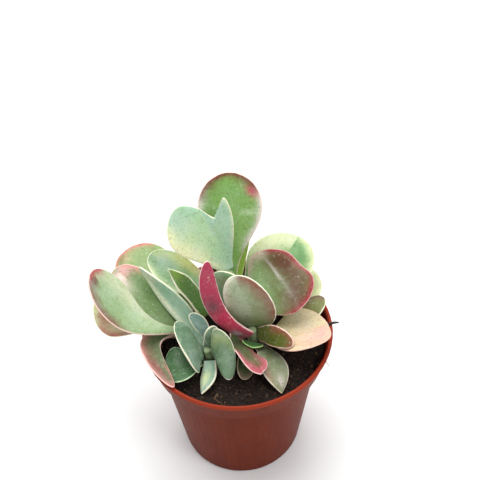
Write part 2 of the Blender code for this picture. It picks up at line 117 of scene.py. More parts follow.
@dataclass
class Leaf:
    """A paddle leaf, from the foot on its stem to its tip. Millimetres and degrees."""

    stem: str
    at: float  # height of the foot on the stem, above the soil
    tip: tuple  # where the tip lies
    width: float
    bow: float = 0.0  # how far the middle sags below the straight line from foot to tip
    seat: float | None = None  # azimuth of the foot on its stem, if it isn't the leaf's own
    sway: float = 0.0  # how far the middle swings to the right of that line
    turn: float = 0.0  # roll about its own length: positive takes the right margin down
    twist: float = 0.0  # further roll by the tip
    cup_left: float = 15.0  # how far each margin turns up
    cup_right: float = 15.0
    fold_left: float = 0.0  # how far each half is folded up along the midrib
    fold_right: float = 0.0
    foot: float = 8.0  # width where it leaves the stem
    thick: float = 2.6
    wave: float = 0.0  # height of the margin's waves
    waves: float = 1.5
    phase: float = 0.0
    round_share: float = 0.36  # length of the round end, as a share of the whole
    notch: float = 0.0  # depth of a notch in the margin, as a share of the length
    notch_at: float = 0.0  # where it lies: -1 is the left foot, 0 the tip, 1 the right foot
    notch_width: float = 0.12
    point: float = 0.0  # how far the round end is drawn out to a point
    skew: float = 0.0  # how far the right half runs ahead of the left, as a share of the width
    neck: float = 1.0  # above 1 the blade stays narrow for longer before it widens
    lop: float = 0.0  # how much wider the right half is than the left, as a share of its width


STEMS = {
    "main": Stem(foot=(0, 3), lean=(-3, 5), rise=40, radius=5.5, top_radius=3.0),
    "left": Stem(foot=(-18, -4), lean=(-2, 1), rise=24, radius=4.0, top_radius=2.4),
    "right": Stem(foot=(9, -8), lean=(-1, 0), rise=13, radius=3.6, top_radius=2.4),
    "front": Stem(foot=(-14, -18), lean=(-2, -3), rise=14, radius=3.2, top_radius=2.0),
}

LEAVES = {
    "leaf_back_tall": Leaf(
        "main", 28.5, (0, 40, 169), 34, bow=-3, seat=100, turn=5, cup_left=10, cup_right=10,
        round_share=0.3, neck=1.4,
    ),
    "leaf_back_folded": Leaf(
        "main", 38.5, (-21, 23.5, 175), 37, seat=95, sway=1, turn=-22, cup_left=12, cup_right=17,
        fold_right=17, notch=0.42, notch_at=0.12, notch_width=0.19, round_share=0.36, neck=0.72,
        skew=0.23, lop=-0.23,
    ),
    "leaf_back_edge": Leaf(
        "main", 22.5, (9, 39.5, 145.5), 7, bow=-0.5, seat=70, turn=40, foot=4, thick=1.8,
    ),
    "leaf_rear_right": Leaf(
        "main", 14, (37, 35, 126), 37, bow=-3, seat=40, sway=4, turn=15, round_share=0.4,
        neck=0.85, skew=0.1,
    ),
    "leaf_rear_low": Leaf(
        "main", 3.5, (47.5, 24, 105), 29.5, bow=-2, sway=-4, turn=9, round_share=0.28, neck=1.1,
        skew=0.13,
    ),
    "leaf_right_big": Leaf(
        "main", 18, (35, 17, 128), 43, bow=1, seat=20, sway=3, turn=17, notch=0.07, notch_at=0.05,
        round_share=0.46, neck=0.8, skew=0.2, lop=0.1,
    ),
    "leaf_right_oval": Leaf(
        "right", 9, (0, -3, 136.5), 27, bow=-5, seat=70, sway=-2.5, turn=-70, twist=-3,
        cup_left=8, cup_right=12, round_share=0.48, neck=0.4, skew=-0.02, lop=0.1,
    ),
    "leaf_right_fold": Leaf(
        "right", 3.5, (48, 9.5, 104), 13.5, bow=-2.5, seat=10, sway=8, turn=8, cup_right=17,
        foot=4, round_share=0.34, skew=-0.02,
    ),
    "leaf_right_olive": Leaf(
        "right", 11, (28.5, -25, 106.5), 11, bow=-6, seat=-25, sway=3, turn=52, twist=-20,
        cup_left=19, foot=7, round_share=0.47, neck=0.9, skew=0.09, lop=-0.12,
    ),
    "leaf_right_cream": Leaf(
        "right", 6.5, (48.5, -11, 102.5), 33.5, bow=-8, seat=-15, sway=6, twist=-5, cup_left=13,
        cup_right=28, foot=5, wave=1.5, waves=1.25, phase=-45, round_share=0.4, neck=1.1,
    ),
    "leaf_crimson": Leaf(
        "right", 12.5, (-12.5, -12, 156.5), 9.5, bow=14.5, seat=235, sway=-5, turn=73, twist=24,
        cup_right=6, foot=9, skew=0.03, lop=0.04,
    ),
    "leaf_front_blue": Leaf("main", 25, (-3, 4, 132), 18.5, bow=2, seat=230, turn=8, neck=0.9),
    "leaf_left_paddle": Leaf(
        "left", 12.5, (-72, 1, 140), 28, bow=11, sway=-19.5, foot=4, round_share=0.26, neck=1.8,
        skew=0.2,
    ),
    "leaf_left_under": Leaf(
        "left", 7, (-76.5, -0.5, 109), 28, bow=-8.5, seat=145, sway=4.5, turn=-28, twist=-4,
        round_share=0.2, neck=1.4,
    ),
    "leaf_left_pink": Leaf(
        "left", 11, (-64, 19.5, 123.5), 25, bow=-3, seat=155, sway=-9.5, turn=-23, neck=0.5,
        lop=-0.13,
    ),
    "leaf_left_rear": Leaf(
        "main", 8, (-65, 41, 113), 31, bow=-8, seat=150, sway=-5, turn=-10, round_share=0.25,
        neck=0.8,
    ),
    "leaf_left_oval": Leaf(
        "main", 21, (-45, 25, 128), 21.5, bow=-3.5, seat=160, sway=-6, turn=-10, round_share=0.38,
        skew=0.02, lop=-0.07,
    ),
    "leaf_left_pointed": Leaf(
        "left", 23.5, (-33, -2.5, 143), 9.5, bow=-3, seat=-25, sway=1.5, turn=-48, twist=-3,
        cup_left=41, point=0.45, skew=0.06, lop=-0.11,
    ),
    "leaf_left_long": Leaf(
        "front", 9, (-50.5, 12.5, 130), 16, bow=-2.5, seat=115, sway=4, turn=-40, twist=-67,
        cup_left=25, cup_right=13, foot=5, round_share=0.38, neck=0.9, lop=0.12,
    ),
    "leaf_rim": Leaf(
        "left", 5, (-33, -39.5, 95), 11, bow=-16.5, seat=220, sway=39, turn=35, twist=-95,
        cup_left=20, cup_right=17, foot=6, round_share=0.44,
    ),
    "leaf_front_round": Leaf(
        "front", 3, (-38, -26.5, 91.5), 21.5, bow=-8.5, seat=-155, sway=-4, turn=-3, foot=5,
        round_share=0.33, neck=1.35, skew=0.12, lop=0.04,
    ),
    "leaf_front_kite": Leaf(
        "front", 9.5, (-27, -28, 107.5), 27.5, bow=1, seat=-175, turn=-46, twist=20, cup_left=10,
        cup_right=6, round_share=0.42, neck=0.8, skew=0.6, lop=0.29,
    ),
    "leaf_front_pale": Leaf(
        "front", 8, (-19.5, -40, 88.5), 10, bow=3, seat=-90, sway=-2, turn=12, twist=32,
        cup_right=17, foot=7, point=0.25, round_share=0.5, skew=0.04, lop=-0.13,
    ),
    "leaf_front_oval": Leaf(
        "front", 13.5, (-1.5, -27, 106.5), 27, bow=-5.5, seat=-25, sway=6, turn=56, cup_left=9,
        cup_right=13, foot=4, neck=1.1, skew=0.21, lop=0.07,
    ),
    "leaf_front_inner": Leaf(
        "front", 13.5, (-11, -17, 114.5), 8.5, bow=-2.5, seat=45, sway=0.5, turn=45, twist=4,
        cup_left=17, cup_right=13, foot=4, round_share=0.46, neck=0.65, skew=-0.07, lop=-0.05,
    ),
    "leaf_front_upper": Leaf(
        "front", 13, (-24.5, -9.5, 115.5), 7.5, bow=-4, seat=105, sway=4.5, turn=-27, twist=15,
        cup_right=13, foot=3, round_share=0.38, neck=1.4, skew=0.05, lop=0.05,
    ),
    "leaf_front_wavy": Leaf(
        "main", 4, (12.5, -36, 100.5), 18.5, bow=-3.5, seat=265, sway=5.5, turn=-31, twist=-2,
        cup_left=10, foot=7, thick=2.2, wave=2, neck=1.35, lop=0.13,
    ),
    "leaf_front_shaded": Leaf(
        "right", 3, (2.5, -33, 89.5), 10, bow=-5.5, seat=235, sway=0.5, turn=-19, twist=-9,
        cup_right=13, foot=5, lop=-0.02,
    ),
    "leaf_front_dark": Leaf(
        "right", 6.5, (7.5, -18, 96.5), 12, bow=-2, seat=255, sway=-0.5, turn=-14, foot=5,
        thick=1.8, point=0.2, round_share=0.43,
    ),
    "leaf_front_drooping": Leaf(
        "right", 3.5, (21.5, -41.5, 88), 15, bow=-7, seat=305, sway=-2.5, twist=-17, cup_left=20,
        foot=6, thick=2.2, point=0.3, round_share=0.41,
    ),
}


@dataclass
class Wash:
    """A soft patch of colour on a blade."""

    colour: str
    along: float  # 0 is the foot, 1 the tip
    across: float  # -1 is the left margin, 1 the right
    long: float  # reach as a share of the length
    wide: float  # reach as a share of the half width
    strength: float = 1.0
    face: int = 0  # 1 is the upper face alone, -1 the underside alone


@dataclass
class Blush:
    """A band of colour that follows the margin."""

    colour: str
    start: float  # along the margin: -1 is the left foot, 0 the tip, 1 the right foot
    end: float
    depth: float  # millimetres in from the margin
    strength: float = 1.0
    face: int = 0


@dataclass
class Look:
    """The colours of one blade, as sRGB hex values."""

    body: str
    under: str
    edge: str
    bloom: float  # how much of its powder it keeps
    paint: tuple = ()


CREAM = "#f1ecd2"
PINK = "#f0cdc0"

LOOKS = {
    "leaf_back_tall": Look("#77a351", "#86a660", PINK, 0.35, (
        Wash("#8dac6a", 0.5, 0, 0.3, 1.2, 0.5), Blush("#e3dad3", 0.3, 0.75, 2.6, 0.95),
        Blush("#e3dad3", -0.75, -0.3, 2.4, 0.95), Blush("#6f302c", -0.42, 0.36, 3.2),
        Wash("#b94b5b", 0.84, 0.78, 0.05, 0.16), Wash("#bdd0ab", 0.66, 0.6, 0.02, 0.3, 0.7),
    )),
    "leaf_back_folded": Look("#a4cbac", "#abc7af", CREAM, 0.8, (
        Wash("#a8cf90", 0.45, -0.3, 0.3, 0.6, 0.7), Blush("#f2f4c1", -0.95, -0.34, 5.5),
        Wash("#f2f4c1", 0.36, -0.8, 0.2, 0.4, 0.9), Wash("#79ab59", 0.9, -0.86, 0.05, 0.14, 0.9),
        Wash("#6b9a60", 0.98, -0.5, 0.04, 0.14, 0.8), Blush("#e1e5b5", 0.2, 0.8, 2.2, 0.7),
    )),
    "leaf_back_edge": Look("#8bad42", "#8bad42", "#e1e497", 0.2),
    "leaf_rear_right": Look("#6b9a5c", "#81a466", CREAM, 0.45, (
        Wash("#d2d8ae", 0.75, -0.75, 0.4, 0.55), Blush("#d0d6a5", 0, 0.9, 3.2, 0.9),
        Wash("#568649", 0.8, 0.55, 0.06, 0.16, 0.9),
    )),
    "leaf_rear_low": Look("#8fa556", "#9cad69", CREAM, 0.35, (
        Blush("#d5d6ab", -0.6, 0.8, 6, 0.9),
    )),
    "leaf_right_big": Look("#709054", "#788e55", "#d0a59d", 0.35, (
        Wash("#90af78", 0.35, -0.25, 0.3, 0.6, 0.6),
        Wash("#663d33", 0.86, 0.15, 0.26, 0.8, 0.97, 1),
        Wash("#663d33", 0.62, 0.75, 0.25, 0.45, 0.85, 1),
        Wash("#5e3527", 0.8, -0.5, 0.28, 0.55, 0.95, 1), Blush("#cfb7ac", -0.8, -0.35, 3.6, 0.9),
        Blush("#941b33", -0.36, 0.62, 2.6), Wash("#c2bbb4", 0.62, -0.1, 0.02, 0.5, 0.8, 1),
    )),
    "leaf_right_fold": Look("#777937", "#7e8147", CREAM, 0.3, (
        Blush("#6b3f29", -0.6, 0.1, 3.4, 0.95),
    )),
    "leaf_right_oval": Look("#a6bd8f", "#aabd8a", "#ffffe9", 0.6, (
        Wash("#c9dabe", 0.5, -0.3, 0.4, 0.5, 0.7), Blush("#944d37", 0, 0.8, 7, 0.95),
        Blush("#fffeed", -0.5, 0, 3.2, 0.9), Wash("#6c833d", 0.12, 0.2, 0.2, 0.9, 0.9),
    )),
    "leaf_right_olive": Look("#575f1b", "#845845", PINK, 0.15, (
        Blush("#844b38", -0.6, 0.2, 3.4, 0.9), Wash("#40490e", 0.5, 0.4, 0.3, 0.6, 0.8),
    )),
    "leaf_right_cream": Look("#d6c49e", "#b86775", "#e3b2a7", 0.4, (
        Wash("#8b8e48", 0.2, -0.2, 0.26, 0.9, 0.95, 1),
        Wash("#e2aba0", 0.85, 0.55, 0.3, 0.5, 0.95, 1),
        Wash("#dbcdaa", 0.6, -0.3, 0.3, 0.5, 0.6, 1),
    )),
    "leaf_crimson": Look("#c53859", "#b13051", "#f2d6cd", 0.25, (
        Wash("#6d3942", 0.55, 0.2, 0.1, 0.9, 0.95), Wash("#d4385b", 0.3, 0, 0.14, 0.9, 0.8),
        Wash("#c9d2d6", 0.12, 0.35, 0.05, 0.45, 0.85), Wash("#8e515c", 0.06, 0.2, 0.07, 0.9, 0.7),
    )),
    "leaf_front_blue": Look("#739875", "#769971", CREAM, 0.5, (
        Wash("#858762", 0.7, 0.3, 0.2, 0.6, 0.6),
    )),
    "leaf_left_paddle": Look("#8faa7a", "#9bae82", PINK, 0.6, (
        Wash("#c7cbaa", 0.6, 0.75, 0.5, 0.4, 0.9), Wash("#b2c09c", 0.35, -0.1, 0.25, 0.7, 0.5),
        Blush("#7b4441", -0.6, -0.1, 4, 0.9), Blush("#ad4454", -0.16, 0.2, 3.4, 0.95),
        Wash("#694742", 0.93, -0.55, 0.05, 0.3, 0.8),
    )),
    "leaf_left_under": Look("#dce4b0", "#e4e8b8", CREAM, 0.4, (
        Wash("#a35548", 0.92, -0.1, 0.16, 0.8, 0.97), Blush("#b65b53", -0.7, -0.2, 3.2, 0.9),
        Blush("#ffffe8", -1, -0.6, 3.5, 0.7),
    )),
    "leaf_left_pink": Look("#718c55", "#809561", PINK, 0.4, (
        Wash("#f5acb8", 0.95, 0.1, 0.1, 0.9, 0.97), Wash("#f0dbd3", 0.85, -0.5, 0.12, 0.4, 0.8),
        Wash("#618640", 0.45, 0.5, 0.25, 0.4, 0.7), Blush("#ce8183", 0.05, 0.5, 2.2, 0.8),
    )),
    "leaf_left_rear": Look("#8ba464", "#9baa73", PINK, 0.4, (
        Blush("#db6772", -0.35, 0.4, 2.6, 0.85), Wash("#e7baab", 0.95, -0.2, 0.05, 0.6, 0.8),
        Wash("#6c7938", 0.92, -0.75, 0.08, 0.2, 0.9),
    )),
    "leaf_left_oval": Look("#6d905f", "#7c9963", CREAM, 0.55, (
        Wash("#8aa391", 0.86, 0.1, 0.14, 0.6, 0.85), Wash("#b0b363", 0.55, 0.75, 0.4, 0.35, 0.95),
        Wash("#c59c82", 0.3, 0.85, 0.14, 0.25, 0.8), Blush("#c5d0a3", -0.9, -0.2, 2.2, 0.8),
    )),
    "leaf_left_pointed": Look("#537c37", "#739341", CREAM, 0.25, (
        Wash("#8ba83f", 0.9, 0, 0.15, 1, 0.8),
    )),
    "leaf_left_long": Look("#a3cbb0", "#b6d1a7", "#ffffe6", 0.7, (
        Wash("#ffffe4", 0.55, -0.6, 0.5, 0.35, 0.9), Wash("#ffeae2", 0.9, 0.3, 0.1, 0.6, 0.8),
    )),
    "leaf_rim": Look("#6a7653", "#b56b68", "#ffd3ca", 0.35, (
        Blush("#d48a88", -0.3, 0.9, 2.6, 0.9), Wash("#556241", 0.35, -0.4, 0.3, 0.6, 0.8),
        Wash("#99595a", 0.8, 0.4, 0.2, 0.6, 0.8),
    )),
    "leaf_front_round": Look("#43683f", "#517346", "#d2e8bf", 0.35, (
        Wash("#2a4523", 0.3, 0.2, 0.3, 0.7, 0.7),
    )),
    "leaf_front_kite": Look("#618263", "#698868", CREAM, 0.65, (
        Wash("#849d8e", 0.7, -0.2, 0.3, 0.5, 0.7), Wash("#4e6c4a", 0.2, 0.4, 0.2, 0.6, 0.7),
    )),
    "leaf_front_pale": Look("#89a893", "#99b48f", CREAM, 0.7, (
        Wash("#d8e7a8", 0.55, 0.2, 0.25, 0.6, 0.95),
    )),
    "leaf_front_oval": Look("#5f7d5c", "#647c4f", CREAM, 0.5, (
        Wash("#92a066", 0.6, -0.65, 0.4, 0.3, 0.85), Wash("#4d6b42", 0.25, 0.3, 0.2, 0.8, 0.6),
        Wash("#819480", 0.78, 0.2, 0.16, 0.6, 0.7),
    )),
    "leaf_front_inner": Look("#5e7f5d", "#658362", CREAM, 0.55),
    "leaf_front_upper": Look("#6b897d", "#6c8779", CREAM, 0.6),
    "leaf_front_wavy": Look("#62653e", "#6f563c", "#eac7bf", 0.3, (
        Blush("#ba5968", -0.9, 0.5, 4.2), Wash("#44552b", 0.3, 0.5, 0.3, 0.7, 0.8),
    )),
    # The shaded leaf's dark olive is partly its own colour and partly painted shade, for the shade
    # it lies in under the wavy leaf.
    "leaf_front_shaded": Look("#4b5f36", "#585138", "#d0c3a7", 0.2, (
        Blush("#806351", -0.6, 0.3, 2.6, 0.7),
    )),
    "leaf_front_dark": Look("#39612b", "#43682d", "#c2ec9a", 0.3),
    "leaf_front_drooping": Look("#7b8564", "#838c6b", "#e7d8c3", 0.5, (
        Wash("#c7bbb6", 0.85, -0.2, 0.14, 0.5, 0.85), Wash("#a06956", 0.6, 0.7, 0.2, 0.3, 0.7),
        Wash("#525f35", 0.25, -0.2, 0.2, 0.8, 0.8),
    )),
}


def linear(colour):
    """The linear RGBA values of an sRGB hex colour."""
    parts = [int(colour[i : i + 2], 16) / 255 for i in (1, 3, 5)]
    curve = [p / 12.92 if p <= 0.04045 else ((p + 0.055) / 1.055) ** 2.4 for p in parts]
    return (*curve, 1.0)


def per_mm(size):
    """The scale of a noise pattern whose features are that many millimetres apart."""
    return 1 / (size * MM)


def add_node(tree, kind, settings=None, inputs=None):
    """Adds a node, sets its properties, and fills its sockets with values or links."""
    node = tree.nodes.new(kind)
    for name, value in (settings or {}).items():
        setattr(node, name, value)
    for key, value in (inputs or {}).items():
        if isinstance(value, bpy.types.NodeSocket):
            tree.links.new(value, node.inputs[key])
        else:
            node.inputs[key].default_value = value
    return node


def mixed(tree, factor, first, second, blend="MIX"):
    """The colour socket of a mix of two colours."""
    settings = {"data_type": "RGBA", "blend_type": blend}
    inputs = {0: factor, 6: first, 7: second}
    return add_node(tree, "ShaderNodeMix", settings, inputs).outputs[2]


def reckoned(tree, operation, *values):
    """The socket of one step of arithmetic."""
    settings = {"operation": operation}
    return add_node(tree, "ShaderNodeMath", settings, dict(enumerate(values))).outputs[0]


def attribute(tree, name, output):
    """The socket of a value that the mesh carries."""
    return add_node(tree, "ShaderNodeAttribute", {"attribute_name": name}).outputs[output]


def height_of(tree, place):
    """The Z socket of a place."""
    return add_node(tree, "ShaderNodeSeparateXYZ", None, {0: place}).outputs["Z"]


def ramped(tree, value, low, high, start=0.0, end=1.0):
    """A value taken smoothly from one range to another, and held at its ends."""
    settings = {"interpolation_type": "SMOOTHSTEP"}
    inputs = {0: value, 1: low, 2: high, 3: start, 4: end}
    return add_node(tree, "ShaderNodeMapRange", settings, inputs).outputs[0]


def cloud(tree, place, size, detail=4.0, roughness=0.55, distortion=0.0):
    """A noise pattern with features of that size in millimetres."""
    inputs = {"Vector": place, "Scale": per_mm(size), "Detail": detail}
    inputs |= {"Roughness": roughness, "Distortion": distortion}
    return add_node(tree, "ShaderNodeTexNoise", None, inputs).outputs["Fac"]


def stretched(tree, place, *times):
    """Coordinates in which a pattern is drawn out that many times along x, y and z."""
    scale = [1 / value for value in times]
    return add_node(tree, "ShaderNodeMapping", None, {"Vector": place, "Scale": scale}).outputs[0]


def bumped(tree, height, distance, strength=1.0, under=None):
    """The normal socket of a bump of that height in millimetres."""
    inputs = {"Strength": strength, "Distance": distance * MM, "Height": height}
    if under:
        inputs["Normal"] = under
    return add_node(tree, "ShaderNodeBump", None, inputs).outputs[0]


def new_material(name, **values):
    """A Principled material with those values, its tree, its shader and its coordinates."""
    made = bpy.data.materials.new(name)
    made.use_nodes = True
    tree = made.node_tree
    shader = tree.nodes["Principled BSDF"]
    for label, value in values.items():
        shader.inputs[label.replace("_", " ")].default_value = value
    return made, tree, shader, add_node(tree, "ShaderNodeTexCoord").outputs["Object"]


def layered(place, *layers):
    """Noise at a place, summed over layers that each give a feature size in mm and a share."""
    return sum(share * noise.noise(place / (size * MM)) for size, share in layers)


def settle(piece, slot, *nodes):
    """Hangs a finished piece on the frame, and hides the solids that it stands for."""
    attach(piece, "root")
    if nodes:
        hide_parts(*nodes)
    return piece


def piece_from(bm, name, finish):
    """A smooth object from a bmesh, with faces outwards."""
    bmesh.ops.recalc_face_normals(bm, faces=bm.faces)
    mesh = bpy.data.meshes.new(name)
    bm.to_mesh(mesh)
    bm.free()
    mesh.materials.append(finish)
    mesh.shade_smooth()
    made = bpy.data.objects.new(name, mesh)
    bpy.context.scene.collection.objects.link(made)
    return made


# Leaves

# Patterns of the leaf's skin, as the distance in millimetres from one feature to the next.
VEIN_SPACING = 1.6
VEIN_DRAWN_OUT = 9.0  # how many times longer than wide
FRECKLE_SPACING = 1.3
BLOOM_PATCH = 11.0
BLOOM_GRAIN = 0.55
FLECK_SPACING = 1.9
EDGE_WANDER = 0.7  # how far the pale line's inner side strays
EDGE_WIDTH = (0.5, 0.95)  # where the line begins to fade, and where it is gone


def leaf_skin():
    """Living paddle leaf: a smooth waxy skin under a dry bloom that fingers and water rub off."""
    made, tree, shader, place = new_material(
        "waxy_leaf_with_bloom", IOR=1.42, Specular_IOR_Level=0.3, Subsurface_Weight=0.18,
        Subsurface_Radius=(1.0, 1.2, 0.5), Subsurface_Scale=1.6 * MM, Sheen_Weight=0.06,
        Sheen_Roughness=0.5,
    )
    blade = attribute(tree, "on_blade", "Vector")
    margin = attribute(tree, "from_margin", "Fac")
    # Veins run the length of the blade and barely show.
    veins = cloud(tree, stretched(tree, blade, 1.0, VEIN_DRAWN_OUT, 1.0), VEIN_SPACING, 3.0)
    vein_share = ramped(tree, veins, 0.45, 0.7, 0.0, 0.14)
    skin = attribute(tree, "skin", "Color")
    veined = mixed(tree, vein_share, skin, linear("#b9cfa4"), "MULTIPLY")
    # Pigment lies in soft freckles.
    freckles = ramped(tree, cloud(tree, place, FRECKLE_SPACING, 6.0, 0.72), 0.5, 0.66, 0.0, 0.5)
    speckled = mixed(tree, freckles, veined, linear("#a99a86"), "MULTIPLY")
    # Bloom: a chalky film, thick in patches and rubbed thin between them.
    film = ramped(tree, cloud(tree, place, BLOOM_PATCH, 5.0, 0.6, 0.4), 0.36, 0.66, 0.15, 1.0)
    grain = ramped(tree, cloud(tree, place, BLOOM_GRAIN, 3.0, 0.8), 0.35, 0.68, 0.55, 1.0)
    powder = reckoned(tree, "MULTIPLY", film, grain)
    amount = reckoned(tree, "MULTIPLY", powder, attribute(tree, "skin", "Alpha"))
    share = ramped(tree, amount, 0.0, 1.0, 0.0, 0.46)
    powdered = mixed(tree, share, speckled, linear("#d0e0d2"))
    # Here and there it has dried to whitish flecks.
    flecks = ramped(tree, cloud(tree, place, FLECK_SPACING, 7.0, 0.8), 0.56, 0.68, 0.0, 0.4)
    bloomed = mixed(tree, flecks, powdered, linear("#dfe8dc"))
    # The margin carries a thin pale line, a little uneven.
    uneven = cloud(tree, place, 3.0, 2.0)
    wander = reckoned(tree, "MULTIPLY_ADD", uneven, EDGE_WANDER * MM, margin)
    line = ramped(tree, wander, EDGE_WIDTH[0] * MM, EDGE_WIDTH[1] * MM, 0.9, 0.0)
    edged = mixed(tree, line, bloomed, attribute(tree, "edge", "Color"))
    tree.links.new(edged, shader.inputs["Base Color"])
    tree.links.new(ramped(tree, amount, 0.0, 0.8, 0.4, 0.62), shader.inputs["Roughness"])
    pores = bumped(tree, cloud(tree, place, 0.5, 3.0, 0.7), 0.05, 0.5)
    tree.links.new(bumped(tree, veins, 0.06, 0.5, pores), shader.inputs["Normal"])
    return made


def outline(leaf, length, t):
    """The right margin at t, from 0 at the foot to 1 at the tip: across, along, and the midrib."""
    half, foot = leaf.width / 2, leaf.foot / 2
    cap = length * leaf.round_share
    neck = length - cap
    if t < 0.5:
        share = t / 0.5
        along = neck * share
        swell = (0.5 - 0.5 * math.cos(math.pi * share)) ** leaf.neck
        return foot + (half - foot) * swell, along, along
    angle = (t - 0.5) * math.pi
    point = leaf.point * (1 - math.cos(angle)) ** 2
    across = half * math.cos(angle) * (1 - POINT_SLIMS * leaf.point * math.sin(angle))
    reach = neck + cap * math.sin(angle) / (1 + leaf.point) * (1 + point)
    return across, reach, neck + cap * MIDRIB_REACH * math.sin(angle)


def flat_point(leaf, length, side, t, s):
    """Point of the flat blade: side is -1 or 1, t runs up the margin, s from midrib to margin."""
    across, along, mid = outline(leaf, length, t)
    place = side * (1 - t)
    dip = leaf.notch * length * math.exp(-(((place - leaf.notch_at) / leaf.notch_width) ** 2))
    mid *= 1 - MIDRIB_SHORTER * leaf.notch
    along = mid + (along - mid) * s - dip * s
    across = side * across * s * (1 + side * leaf.lop)
    return across, along + leaf.skew * across * t


def spine(leaf):
    """The midrib: its length, and at equal steps its place, tangent, side and normal."""
    stem = STEMS[leaf.stem]
    centre = stem.centre(leaf.at)
    tip = Vector(leaf.tip) * MM
    chord = tip - centre
    right = chord.cross(Vector((0, 0, 1))).normalized()
    upward = right.cross(chord.normalized())
    middle = (centre + tip) / 2 - upward * leaf.bow * MM + right * leaf.sway * MM
    outward = middle - centre
    steep = abs(outward.normalized().z)
    if leaf.seat is not None:
        outward = Vector((math.cos(math.radians(leaf.seat)), math.sin(math.radians(leaf.seat)), 0))
    outward.z = 0
    clear = stem.radius_at(leaf.at) + 2 * GAP + leaf.thick / 2 * steep * MM
    start = centre + outward.normalized() * clear
    middle = (start + tip) / 2 - upward * leaf.bow * MM + right * leaf.sway * MM
    places = [
        start * (1 - u) ** 2 + middle * 2 * u * (1 - u) + tip * u**2
        for u in [i / SPINE_STEPS for i in range(SPINE_STEPS + 1)]
    ]
    travelled = [0.0]
    for near, far in zip(places, places[1:]):
        travelled.append(travelled[-1] + (far - near).length / MM)
    length = travelled[-1]
    frames = []
    for i in range(SPINE_STEPS + 1):
        u = i / SPINE_STEPS
        tangent = ((middle - start) * (1 - u) + (tip - middle) * u).normalized()
        side = (right - tangent * right.dot(tangent)).normalized()
        side = Matrix.Rotation(math.radians(leaf.turn + leaf.twist * u), 3, tangent) @ side
        frames.append((travelled[i], places[i], tangent, side, side.cross(tangent)))
    return length, frames


def on_spine(frames, along):
    """The spine's place, tangent, side and normal at a distance along it."""
    i = 0
    while i < len(frames) - 2 and frames[i + 1][0] < along:
        i += 1
    share = (along - frames[i][0]) / (frames[i + 1][0] - frames[i][0])
    return [a + (b - a) * share for a, b in zip(frames[i][1:], frames[i + 1][1:])]


def blade_point(leaf, length, frames, side, t, s):
    """Point of the blade's middle surface in space."""
    across, along = flat_point(leaf, length, side, t, s)
    half = leaf.width / 2
    share = along / length
    cup, fold = (
        (leaf.cup_right, leaf.fold_right) if across > 0 else (leaf.cup_left, leaf.fold_left)
    )
    cup = math.radians(max(cup, 0.01))
    fold = math.radians(fold) * min(1.0, FOLD_GROWS * share)
    turned = fold + cup * abs(across) / half
    reach = half / cup * (math.sin(turned) - math.sin(fold))
    lift = half / cup * (math.cos(fold) - math.cos(turned))
    angle = 2 * math.pi * leaf.waves * share + math.radians(leaf.phase)
    ripple = leaf.wave * s**2 * share * math.sin(angle + (side > 0) * MARGINS_APART)
    place, _, out, normal = on_spine(frames, along)
    return place + out * math.copysign(reach, across) * MM + normal * (lift + ripple) * MM


WASH_RAGGED = 0.5  # how much the seed changes a wash's reach
BLUSH_RAGGED = 0.45  # and a blush's depth
BLUSH_FADE = 0.14  # share of the margin over which a blush's ends fade


def painted(look, along, across, margin, depth, face, seed):
    """The skin's colour at a place on the blade, with its soft patches and margin bands."""
    colour = Vector(linear(look.body if face > 0 else look.under)[:3])
    for mark in look.paint:
        if mark.face and mark.face != face:
            continue
        if isinstance(mark, Wash):
            ahead, aside = (along - mark.along) / mark.long, (across - mark.across) / mark.wide
            share = math.exp(-(ahead**2 + aside**2) * (1 + WASH_RAGGED * seed))
        else:
            middle, half = (mark.start + mark.end) / 2, (mark.end - mark.start) / 2
            ends = min(max((half - abs(margin - middle)) / BLUSH_FADE + 0.5, 0.0), 1.0)
            inward = depth / (mark.depth * (1 + BLUSH_RAGGED * seed))
            share = ends * ends * (3 - 2 * ends) * math.exp(-(inward**2))
        colour = colour.lerp(Vector(linear(mark.colour)[:3]), share * mark.strength)
    return colour


